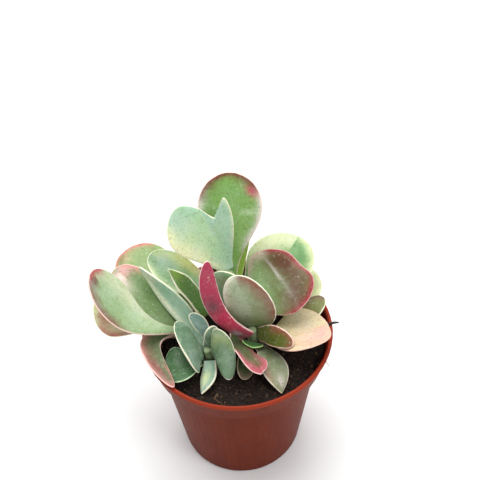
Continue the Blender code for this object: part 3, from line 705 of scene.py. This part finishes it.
def paddle(name, leaf, look, finish, settings):
    """A fine closed blade over the solid's, painted with its colours."""
    length, frames = spine(leaf)
    middle = bmesh.new()
    facts, made = {}, {}

    def vert(side, column, row):
        if row == 0 or column == BLADE_COLUMNS:
            side = 1
        key = side, column, row
        if key not in made:
            t, s = column / BLADE_COLUMNS, BLADE_ROWS[row]
            made[key] = middle.verts.new(blade_point(leaf, length, frames, side, t, s))
            facts[made[key]] = side, t, s
        return made[key]

    for side in (-1, 1):
        for column in range(BLADE_COLUMNS):
            for row in range(len(BLADE_ROWS) - 1):
                a, b = vert(side, column, row), vert(side, column, row + 1)
                c, d = vert(side, column + 1, row + 1), vert(side, column + 1, row)
                middle.faces.new((a, b, c, d) if side > 0 else (d, c, b, a))
    middle.normal_update()
    body = bmesh.new()
    skin = body.verts.layers.float_color.new("skin")
    edge = body.verts.layers.float_color.new("edge")
    on_blade = body.verts.layers.float_vector.new("on_blade")
    from_margin = body.verts.layers.float.new("from_margin")
    rim = linear(look.edge)
    sides = {1: {}, -1: {}}
    for point, (side, t, s) in facts.items():
        across, along = flat_point(leaf, length, side, t, s)
        edge_across, edge_along = flat_point(leaf, length, side, t, 1)
        depth = math.hypot(edge_across - across, edge_along - along)
        swell = (1 - s**3) ** EDGE_ROUNDING * (1.0 - THINNER_AT_TIP * t)
        rise = settings.unevenness * layered(point.co, *SWELLS) * min(1.0, 4 * along / length)
        for face in (1, -1):
            if s == 1 and face < 0:
                sides[face][point] = sides[1][point]
                continue
            lift = face * swell * leaf.thick / 2 * MM + rise
            new = body.verts.new(point.co + point.normal * lift)
            seed = layered(point.co, (6, 1), (2, 0.6))
            colour = painted(look, along / length, side * s, side * (1 - t), depth, face, seed)
            new[skin] = (*colour, look.bloom * settings.bloom)
            new[edge] = rim
            new[on_blade] = (across * MM, along * MM, face * FACES_APART)
            new[from_margin] = depth * MM
            sides[face][point] = new
    for face in middle.faces:
        body.faces.new([sides[1][v] for v in face.verts])
        body.faces.new([sides[-1][v] for v in reversed(face.verts)])
    for border in middle.edges:
        first, second = border.verts
        if border.is_boundary and not facts[first][2] == facts[second][2] == 1:
            corners = [sides[1][first], sides[1][second], sides[-1][second], sides[-1][first]]
            body.faces.new(list(dict.fromkeys(corners)))
    middle.free()
    return piece_from(body, name.replace("leaf_", "paddle_"), finish)


class PaddleSettings(PropertyGroup):
    """How the blades are finished."""

    bloom: FloatProperty(
        name="Bloom", description="How much powder the blades keep", default=1.0, min=0.0, max=1.5
    )
    unevenness: FloatProperty(
        name="Unevenness",
        description="Height of the soft swells on a blade",
        default=0.5 * MM,
        unit="LENGTH",
    )


class PLANT_OT_leaves(Operator):
    """Makes every paddle leaf over its solid"""

    bl_idname = "plant.leaves"
    bl_label = "Leaves"

    def execute(self, context):
        settings = context.scene.plant_paddles
        finish = leaf_skin()
        for name, leaf in LEAVES.items():
            piece = paddle(name, leaf, LOOKS[name], finish, settings)
            settle(piece, "leaf_blade", name)
        return {"FINISHED"}


# Stems

STEM_SIDES = 36
STEM_STEP = 0.6  # height of one ring of faces, in millimetres
TOP_RING = 0.8  # height over which the top is rounded in
TOP_ROUNDING = 0.03  # share of the radius by which it is
SCAR_SPACING = 6.5
SCAR_PHASE = (1.5, 3.2)  # shift of the row of scars, and the middle of one in its spacing
SCAR_HALF = 0.6
SCAR_RISE = 0.22 * MM
STEM_SWELL = 0.25 * MM
STEM_INSET = 0.1 * MM  # keeps the flesh clear of the leaves


def stem_skin():
    """Soft succulent stem: green and waxy above, corky and brown near the soil."""
    made, tree, shader, place = new_material("succulent_stem_skin", Roughness=0.62, IOR=1.42)
    patches = cloud(tree, place, 4.0, 5.0, 0.65)
    wavering = reckoned(tree, "MULTIPLY_ADD", patches, 14 * MM, height_of(tree, place))
    green = mixed(tree, ramped(tree, patches, 0.35, 0.7), linear("#7d8f62"), linear("#9fb18a"))
    cork = mixed(tree, ramped(tree, patches, 0.4, 0.65), linear("#5f4a35"), linear("#86755a"))
    rise = ramped(tree, wavering, SOIL_TOP + 5 * MM, SOIL_TOP + 16 * MM)
    tree.links.new(mixed(tree, rise, cork, green), shader.inputs["Base Color"])
    creases = cloud(tree, stretched(tree, place, 1.0, 1.0, 0.4), 1.2, 4.0, 0.7)
    tree.links.new(bumped(tree, creases, 0.3, 0.7), shader.inputs["Normal"])
    return made


def stem_piece(name, stem, finish, settings):
    """A stem with raised leaf scars, from its end in the soil to its top."""
    made = bmesh.new()
    foot = -settings.depth / MM
    count = math.ceil((stem.rise - foot) / STEM_STEP)
    rings = []
    for i in range(count + 1):
        height = foot + (stem.rise - foot) * i / count
        from_scar = (height + SCAR_PHASE[0]) % SCAR_SPACING - SCAR_PHASE[1]
        scar = math.exp(-((from_scar / SCAR_HALF) ** 2))
        below_top = min(1.0, (stem.rise - height) / TOP_RING)
        radius = stem.radius_at(height) * (1 - TOP_ROUNDING * (1 - below_top))
        ring = []
        for k in range(STEM_SIDES):
            angle = 2 * math.pi * k / STEM_SIDES
            out = Vector((math.cos(angle), math.sin(angle), 0))
            spot = stem.centre(height) + out * radius
            lopsided = 0.6 + 0.4 * math.sin(2 * angle + height)
            swell = STEM_SWELL * layered(spot, (3, 1)) + SCAR_RISE * scar * lopsided
            ring.append(made.verts.new(spot + out * (swell - STEM_INSET)))
        rings.append(ring)
    for low, high in zip(rings, rings[1:]):
        for k in range(STEM_SIDES):
            j = (k + 1) % STEM_SIDES
            made.faces.new((low[k], low[j], high[j], high[k]))
    made.faces.new(list(reversed(rings[0])))
    made.faces.new(rings[-1])
    return piece_from(made, name, finish)


class StemSettings(PropertyGroup):
    """How the stems stand."""

    depth: FloatProperty(
        name="Depth", description="How deep it stands in the soil", default=16 * MM, unit="LENGTH"
    )


class PLANT_OT_stems(Operator):
    """Makes the fleshy stems with their leaf scars"""

    bl_idname = "plant.stems"
    bl_label = "Stems"

    def execute(self, context):
        finish = stem_skin()
        for name, stem in STEMS.items():
            piece = stem_piece(f"{name}_stem_flesh", stem, finish, context.scene.plant_stems)
            settle(piece, "stem_flesh", f"{name}_stem")
        return {"FINISHED"}


# Pot

def pot_plastic(settings):
    """Moulded terracotta-coloured polypropylene: matte, faintly streaked, scuffed and dusty."""
    made, tree, shader, place = new_material(
        "moulded_polypropylene", IOR=1.49, Specular_IOR_Level=0.06
    )
    height = height_of(tree, place)
    flow = cloud(tree, stretched(tree, place, 1.0, 1.0, 3.0), 9.0, 4.0)
    body = mixed(tree, ramped(tree, flow, 0.35, 0.65), tuple(settings.body), linear("#6a2409"))
    # The thin lip gets a brighter colour than the wall below it: painted light on its top edge, so
    # the wall looks darker beside it.
    painted_lip_light = ramped(tree, height, POT_HEIGHT - 2.4 * MM, POT_HEIGHT - 1.4 * MM)
    coloured = mixed(tree, painted_lip_light, body, tuple(settings.painted_lip_light))
    dust = ramped(tree, cloud(tree, place, 9.0, 7.0, 0.72), 0.52, 0.78, 0.0, 0.15)
    low = ramped(tree, height, 40 * MM, 4 * MM, 0.35, 1.0)
    share = reckoned(tree, "MULTIPLY", dust, low)
    tree.links.new(mixed(tree, share, coloured, linear("#6d3a24")), shader.inputs["Base Color"])
    scuffs = cloud(tree, stretched(tree, place, 1.0, 1.0, 0.25), 2.2, 5.0, 0.7)
    tree.links.new(ramped(tree, scuffs, 0.35, 0.7, 0.4, 0.54), shader.inputs["Roughness"])
    grain = bumped(tree, cloud(tree, place, 0.45, 2.0), 0.02, 0.5)
    tree.links.new(bumped(tree, flow, 0.05, 0.3, grain), shader.inputs["Normal"])
    return made


class PotSettings(PropertyGroup):
    """The pot's colours."""

    body: FloatVectorProperty(
        name="Body", description="Colour of the wall", subtype="COLOR", size=4, min=0, max=1,
        default=linear("#631f07"),
    )
    # The lip's brighter colour is painted light on its thin top edge, over the wall's plastic.
    painted_lip_light: FloatVectorProperty(
        name="Lip", description="Colour of the thin lip", subtype="COLOR", size=4, min=0, max=1,
        default=linear("#8f3521"),
    )


class PLANT_OT_pot(Operator):
    """Gives the pot its moulded plastic"""

    bl_idname = "plant.pot"
    bl_label = "Pot"

    def execute(self, context):
        finish = pot_plastic(context.scene.plant_pot)
        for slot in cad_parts["pot"].material_slots:
            slot.material = finish
        return {"FINISHED"}


# Peat

BED_SIDES = 168
BED_RINGS = 64
BED_INSET = 0.1 * MM
# Rings under the bed's top, well inside the pot: height above the table and radius.
BED_SHOULDER = (COLLAR_FOOT_HEIGHT - 5 * MM, 43 * MM)
BED_FOOT_SHARE = 0.62  # radius at the bottom, as a share of the pot's


def peat_finish(name, dark, light, tone=None):
    """Damp potting peat: almost black, matte, with paler dry specks."""
    made, tree, shader, place = new_material(name, Roughness=0.85, IOR=1.35)
    specks = ramped(tree, cloud(tree, place, 1.6, 8.0, 0.75), 0.45, 0.72)
    colour = mixed(tree, specks, linear(dark), linear(light))
    if tone:
        own = attribute(tree, "tone", "Fac")
        colour = mixed(tree, ramped(tree, own, 0.6, 1.0), colour, linear(tone))
    tree.links.new(colour, shader.inputs["Base Color"])
    rough = cloud(tree, place, 0.7, 6.0, 0.8)
    tree.links.new(bumped(tree, rough, 0.5), shader.inputs["Normal"])
    return made


def soil_height(x, y):
    """Height of the soil's top: a low mound with lumps."""
    a, b, c, d = SOIL_LUMP_TURNS
    out = math.hypot(x, y) / RIM_RADIUS
    lumps = math.sin(x * a + 1.3) * math.cos(y * b - 0.6) + 0.6 * math.sin(x * c - y * d)
    return SOIL_TOP + SOIL_MOUND * (0.6 - out**2) + SOIL_LUMP * lumps


def peat_bed(finish, settings):
    """The peat that fills the pot, with a crumbly top."""
    made = bmesh.new()
    low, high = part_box("soil")
    share = (SOIL_TOP - COLLAR_FOOT_HEIGHT) / (POT_HEIGHT - COLLAR_FOOT_HEIGHT)
    wall = COLLAR_FOOT_RADIUS - WALL + (RIM_RADIUS - LIP_WIDTH - COLLAR_FOOT_RADIUS + WALL) * share
    reach = min(wall, high.x) - BED_INSET

    def ring_of(radius, top):
        row = []
        for i in range(BED_SIDES):
            angle = 2 * math.pi * i / BED_SIDES
            x, y = radius * math.cos(angle), radius * math.sin(angle)
            row.append(made.verts.new((x, y, top(x, y))))
        return row

    def crumbly(x, y):
        crumbs = layered(Vector((x, y, 0)), (2.2, 1), (1.0, 0.6))
        return soil_height(x, y) + settings.roughness * crumbs

    rings = [ring_of(reach * ring / BED_RINGS, crumbly) for ring in range(1, BED_RINGS + 1)]
    foot = low.z + 1 * MM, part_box("pot")[1].x * BED_FOOT_SHARE
    for height, radius in (BED_SHOULDER, foot):
        rings.append(ring_of(radius, lambda x, y: height))
    for near, far in zip(rings, rings[1:]):
        for i in range(BED_SIDES):
            j = (i + 1) % BED_SIDES
            made.faces.new((near[i], far[i], far[j], near[j]))
    centre = made.verts.new((0, 0, soil_height(0, 0)))
    for i in range(BED_SIDES):
        made.faces.new((centre, rings[0][i], rings[0][(i + 1) % BED_SIDES]))
    made.faces.new(list(reversed(rings[-1])))
    return piece_from(made, "peat_bed", finish)


def scatter_tree(name, build, finish):
    """A Geometry Nodes tree that strews copies of one small form over the top of the peat."""
    tree = bpy.data.node_groups.new(name, "GeometryNodeTree")
    tree.is_modifier = True
    face = tree.interface
    face.new_socket("Geometry", in_out="INPUT", socket_type="NodeSocketGeometry")
    for label, value in (("Density", 100000.0), ("Smallest", 0.5 * MM), ("Largest", 1.5 * MM)):
        socket = face.new_socket(label, in_out="INPUT", socket_type="NodeSocketFloat")
        socket.default_value = value
    face.new_socket("Seed", in_out="INPUT", socket_type="NodeSocketInt")
    face.new_socket("Geometry", in_out="OUTPUT", socket_type="NodeSocketGeometry")
    given = add_node(tree, "NodeGroupInput").outputs

    def above(value, limit):
        inputs = {0: value, 1: limit}
        return add_node(
            tree, "FunctionNodeCompare", {"operation": "GREATER_THAN"}, inputs
        ).outputs[0]

    def drawn(kind, output, low, high, seed):
        inputs = {low[0]: low[1], high[0]: high[1], "Seed": seed}
        return add_node(
            tree, "FunctionNodeRandomValue", {"data_type": kind}, inputs
        ).outputs[output]

    upright = height_of(tree, add_node(tree, "GeometryNodeInputNormal").outputs[0])
    height = height_of(tree, add_node(tree, "GeometryNodeInputPosition").outputs[0])
    top = add_node(
        tree, "FunctionNodeBooleanMath", {"operation": "AND"},
        {0: above(upright, 0.2), 1: above(height, SOIL_TOP - 5 * MM)},
    ).outputs[0]
    points = add_node(
        tree, "GeometryNodeDistributePointsOnFaces", None,
        {"Mesh": given["Geometry"], "Selection": top, "Density": given["Density"],
         "Seed": given["Seed"]},
    ).outputs["Points"]
    size = drawn("FLOAT", 1, (2, given["Smallest"]), (3, given["Largest"]), given["Seed"])
    turn = drawn("FLOAT_VECTOR", 0, (0, (0, 0, 0)), (1, (2 * math.pi,) * 3), given["Seed"])
    copies = add_node(
        tree, "GeometryNodeInstanceOnPoints", None,
        {"Points": points, "Instance": build(tree), "Rotation": turn, "Scale": size},
    ).outputs[0]
    toned = add_node(
        tree, "GeometryNodeStoreNamedAttribute", {"data_type": "FLOAT", "domain": "INSTANCE"},
        {"Geometry": copies, "Name": "tone", "Value": drawn("FLOAT", 1, (2, 0.0), (3, 1.0), 7)},
    ).outputs[0]
    real = add_node(tree, "GeometryNodeRealizeInstances", None, {0: toned}).outputs[0]
    finished = {"Geometry": real, "Material": finish}
    last = add_node(tree, "GeometryNodeSetMaterial", None, finished).outputs[0]
    tree.links.new(last, add_node(tree, "NodeGroupOutput").inputs[0])
    return tree


def crumb_form(tree):
    """A knobbly crumb of unit size."""
    ball = add_node(tree, "GeometryNodeMeshIcoSphere", None, {"Radius": 0.5, "Subdivisions": 2})
    lumps = add_node(tree, "ShaderNodeTexNoise", None, {"Scale": 2.3, "Detail": 1.0})
    shift = add_node(
        tree, "ShaderNodeVectorMath", {"operation": "MULTIPLY_ADD"},
        {0: lumps.outputs["Color"], 1: (0.9, 0.9, 0.6), 2: (-0.45, -0.45, -0.3)},
    ).outputs[0]
    return add_node(
        tree, "GeometryNodeSetPosition", None, {"Geometry": ball.outputs["Mesh"], "Offset": shift}
    ).outputs[0]


def chip_form(tree):
    """A thin splinter of bark of unit length."""
    return add_node(
        tree, "GeometryNodeMeshCube", None, {"Size": (1.0, 0.34, 0.14), "Vertices X": 3}
    ).outputs["Mesh"]


def fibre_form(tree):
    """A bent root fibre of unit length."""
    bend = {"Start": (-0.5, 0, 0), "Middle": (0.1, 0.35, 0.2), "End": (0.5, -0.1, 0.05)}
    line = add_node(tree, "GeometryNodeCurveQuadraticBezier", None, {"Resolution": 7} | bend)
    thin = {"Resolution": 4, "Radius": 0.02}
    ring = add_node(tree, "GeometryNodeCurvePrimitiveCircle", None, thin)
    return add_node(
        tree, "GeometryNodeCurveToMesh", None,
        {"Curve": line.outputs[0], "Profile Curve": ring.outputs[0], "Fill Caps": True},
    ).outputs[0]


def strewn(name, bed, tree, values):
    """The tree's result over the bed as a plain mesh object."""
    base = bpy.data.objects.new(name, bed.data.copy())
    bpy.context.scene.collection.objects.link(base)
    modifier = base.modifiers.new("scatter", "NODES")
    modifier.node_group = tree
    for item in tree.interface.items_tree:
        if item.in_out == "INPUT" and item.name in values:
            modifier[item.identifier] = values[item.name]
    graph = bpy.context.evaluated_depsgraph_get()
    mesh = bpy.data.meshes.new_from_object(base.evaluated_get(graph), depsgraph=graph)
    if not mesh.polygons:
        raise RuntimeError(f"{name} came out empty")
    base.modifiers.remove(modifier)
    base.data = mesh
    mesh.name = name
    return base


class PeatSettings(PropertyGroup):
    """The peat's top."""

    roughness: FloatProperty(
        name="Roughness", description="Height of the fine lumps", default=0.55 * MM, unit="LENGTH"
    )
    crumbs: IntProperty(
        name="Crumbs", description="Crumbs in a square centimetre", default=25, min=0
    )
    chips: IntProperty(
        name="Chips", description="Pale splinters in a square decimetre", default=170, min=0
    )
    fibres: IntProperty(
        name="Fibres", description="Fibres in a square decimetre", default=160, min=0
    )
    seed: IntProperty(name="Seed", description="Changes where the crumbs fall", default=4)


class PLANT_OT_peat(Operator):
    """Fills the pot with peat and strews its crumbs, splinters and fibres"""

    bl_idname = "plant.peat"
    bl_label = "Peat"

    def execute(self, context):
        settings = context.scene.plant_peat
        bed = peat_bed(peat_finish("damp_peat", "#17100c", "#3b2b21"), settings)
        # Name, form, material, its colours, pieces a square metre, smallest and largest size.
        strews = (
            ("peat_crumbs", crumb_form, "peat_crumbs", ("#1d1510", "#49362a", "#5d4736"),
             settings.crumbs * 1e4, 0.5, 1.9),
            ("peat_lumps", crumb_form, "peat_lumps", ("#1a120e", "#3f2e24", "#4c3a2c"),
             settings.crumbs * 700, 1.8, 3.6),
            ("bark_chips", chip_form, "dry_bark", ("#6b5138", "#a88b62", "#c9ae80"),
             settings.chips * 1e2, 0.8, 2.6),
            ("root_fibres", fibre_form, "dry_root_fibre", ("#5a3b28", "#8a6647", "#b08a60"),
             settings.fibres * 1e2, 2.5, 7.0),
        )
        for name, form, material, colours, density, smallest, largest in strews:
            tree = scatter_tree(name, form, peat_finish(material, *colours))
            values = {
                "Density": float(density),
                "Smallest": smallest * MM,
                "Largest": largest * MM,
                "Seed": settings.seed + len(name),
            }
            settle(strewn(name, bed, tree, values), "potting_soil")
        settle(bed, "potting_soil", "soil")
        return {"FINISHED"}


# Debris on the rim

# Routes over the rim, in millimetres.
TWIG = ((44, -2, 89), (47.5, -1.8, 91.4), (51, -1.6, 94), (53.5, -1.4, 94.6), (55.8, -2, 94.9))
HAIR = ((42, -24.5, 88.5), (44.6, -25.6, 93.6), (46.4, -26.6, 93.8), (47.4, -28.2, 90.5))
TWIG_RADIUS = 0.75
HAIR_RADIUS = 0.2


def bark_skin():
    """A dead twig: dark, dry and matte."""
    made, tree, shader, place = new_material("dry_twig_bark", Roughness=0.8)
    streaks = cloud(tree, place, 1.0, 5.0, 0.7)
    colour = mixed(tree, ramped(tree, streaks, 0.4, 0.65), linear("#1f1915"), linear("#4b3f34"))
    tree.links.new(colour, shader.inputs["Base Color"])
    tree.links.new(bumped(tree, streaks, 0.15), shader.inputs["Normal"])
    return made


def strand(name, points, radius, finish):
    """A thin round strand through the points, in millimetres, drawn out at its ends."""
    curve = bpy.data.curves.new(name, "CURVE")
    curve.dimensions = "3D"
    curve.bevel_depth = radius * MM
    curve.bevel_resolution = 2
    curve.use_fill_caps = True
    spline = curve.splines.new("NURBS")
    spline.points.add(len(points) - 1)
    for point, place in zip(spline.points, points):
        point.co = (*(Vector(place) * MM), 1.0)
    spline.points[0].radius = spline.points[-1].radius = 0.5
    spline.use_endpoint_u = True
    spline.order_u = 4
    drawn = bpy.data.objects.new(name, curve)
    bpy.context.scene.collection.objects.link(drawn)
    graph = bpy.context.evaluated_depsgraph_get()
    mesh = bpy.data.meshes.new_from_object(drawn.evaluated_get(graph), depsgraph=graph)
    bpy.data.objects.remove(drawn)
    bm = bmesh.new()
    bm.from_mesh(mesh)
    bmesh.ops.remove_doubles(bm, verts=bm.verts, dist=0.001 * MM)
    return piece_from(bm, name, finish)


class PLANT_OT_debris(Operator):
    """Lays the dead twig and the root hair over the rim"""

    bl_idname = "plant.debris"
    bl_label = "Debris"

    def execute(self, context):
        hairs = peat_finish("dry_root_hair", "#6b4030", "#a8765c")
        settle(strand("dead_twig", TWIG, TWIG_RADIUS, bark_skin()), "potting_soil")
        settle(strand("rim_hair", HAIR, HAIR_RADIUS, hairs), "potting_soil")
        return {"FINISHED"}


# Stage

CAMERA_TARGET = Vector((3.57, 169.47, 0.0)) * MM
SENSOR = 36.0  # millimetres
FLOOR_REACH = 3.0  # metres each way
LIGHTS_AIM = Vector((0, 0, 0.1))
# Name, place in metres, side in metres, share of the overhead light's power.
SOFT_BOXES = (
    ("overhead_box", (-0.1, 0.25, 1.1), 0.9, 1.0),
    ("front_box", (0.55, -0.45, 0.9), 0.35, 0.25),
)


def floor_paper():
    """White studio paper: matte and even."""
    made, tree, shader, place = new_material("white_studio_paper", Roughness=0.9)
    shade = mixed(tree, cloud(tree, place, 0.8, 2.0), linear("#f1f1f1"), linear("#f5f5f5"))
    tree.links.new(shade, shader.inputs["Base Color"])
    return made


class StageSettings(PropertyGroup):
    """The camera, the lights and the floor."""

    tilt: FloatProperty(
        name="Tilt", description="How far the camera looks down", subtype="ANGLE",
        default=math.radians(42.98),
    )
    roll: FloatProperty(
        name="Roll", description="How far the camera leans", subtype="ANGLE",
        default=math.radians(-2.45),
    )
    distance: FloatProperty(
        name="Distance", description="From the camera to its target", unit="LENGTH",
        default=551.25 * MM,
    )
    focal: FloatProperty(
        name="Focal length", description="In millimetres, on a 36 mm wide sensor", default=49.48
    )
    daylight: FloatProperty(
        name="Daylight", description="Strength of the even light", default=0.55
    )
    overhead: FloatProperty(
        name="Overhead", description="Watts of the soft box above", default=13.0
    )


class PLANT_OT_stage(Operator):
    """Sets up the floor, the camera and the soft lights"""

    bl_idname = "plant.stage"
    bl_label = "Stage"

    def execute(self, context):
        settings = context.scene.plant_stage
        floor = bmesh.new()
        bmesh.ops.create_grid(floor, x_segments=4, y_segments=4, size=FLOOR_REACH)
        piece_from(floor, "studio_floor", floor_paper())
        self.place_camera(context, settings)
        self.place_lights(context, settings)
        context.scene.view_settings.view_transform = "Standard"
        return {"FINISHED"}

    def place_camera(self, context, settings):
        lens = bpy.data.cameras.new("studio_camera")
        lens.lens = settings.focal
        lens.sensor_width = SENSOR
        camera = bpy.data.objects.new("studio_camera", lens)
        context.scene.collection.objects.link(camera)
        back = Vector((0, -math.cos(settings.tilt), math.sin(settings.tilt)))
        right = Vector((1, 0, 0))
        turned = Matrix((right, back.cross(right), back)).transposed().to_4x4()
        rolled = turned @ Matrix.Rotation(settings.roll, 4, "Z")
        camera.matrix_world = Matrix.Translation(CAMERA_TARGET + back * settings.distance) @ rolled
        context.scene.camera = camera

    def place_lights(self, context, settings):
        world = bpy.data.worlds.new("white_studio")
        world.use_nodes = True
        sky = world.node_tree.nodes["Background"].inputs
        sky["Color"].default_value = linear("#ffffff")
        sky["Strength"].default_value = settings.daylight
        context.scene.world = world
        for name, place, size, share in SOFT_BOXES:
            light = bpy.data.lights.new(name, "AREA")
            light.size = size
            light.energy = settings.overhead * share
            lamp = bpy.data.objects.new(name, light)
            context.scene.collection.objects.link(lamp)
            lamp.rotation_euler = (Vector(place) - LIGHTS_AIM).to_track_quat("Z", "Y").to_euler()
            lamp.location = place


class PLANT_PT_panel(Panel):
    """Lists the plant's pieces and their settings"""

    bl_idname = "PLANT_PT_panel"
    bl_label = "Paddle Plant"
    bl_space_type = "VIEW_3D"
    bl_region_type = "UI"
    bl_category = "Paddle Plant"

    def draw(self, context):
        for operator, group in STEPS:
            box = self.layout.box()
            box.operator(operator.bl_idname)
            if group:
                settings = getattr(context.scene, group)
                for name in settings.__annotations__:
                    box.prop(settings, name)


STEPS = (
    (PLANT_OT_pot, "plant_pot"),
    (PLANT_OT_peat, "plant_peat"),
    (PLANT_OT_stems, "plant_stems"),
    (PLANT_OT_leaves, "plant_paddles"),
    (PLANT_OT_debris, None),
    (PLANT_OT_stage, "plant_stage"),
)

GROUPS = {
    "plant_pot": PotSettings,
    "plant_peat": PeatSettings,
    "plant_stems": StemSettings,
    "plant_paddles": PaddleSettings,
    "plant_stage": StageSettings,
}


def register():
    for name, group in GROUPS.items():
        bpy.utils.register_class(group)
        setattr(bpy.types.Scene, name, PointerProperty(type=group))
    for operator, _ in STEPS:
        bpy.utils.register_class(operator)
    bpy.utils.register_class(PLANT_PT_panel)


def unregister():
    bpy.utils.unregister_class(PLANT_PT_panel)
    for operator, _ in STEPS:
        bpy.utils.unregister_class(operator)
    for name, group in GROUPS.items():
        delattr(bpy.types.Scene, name)
        bpy.utils.unregister_class(group)


def main():
    register()
    for operator, _ in STEPS:
        group, name = operator.bl_idname.split(".")
        getattr(getattr(bpy.ops, group), name)()


if __name__ == "__main__":
    main()
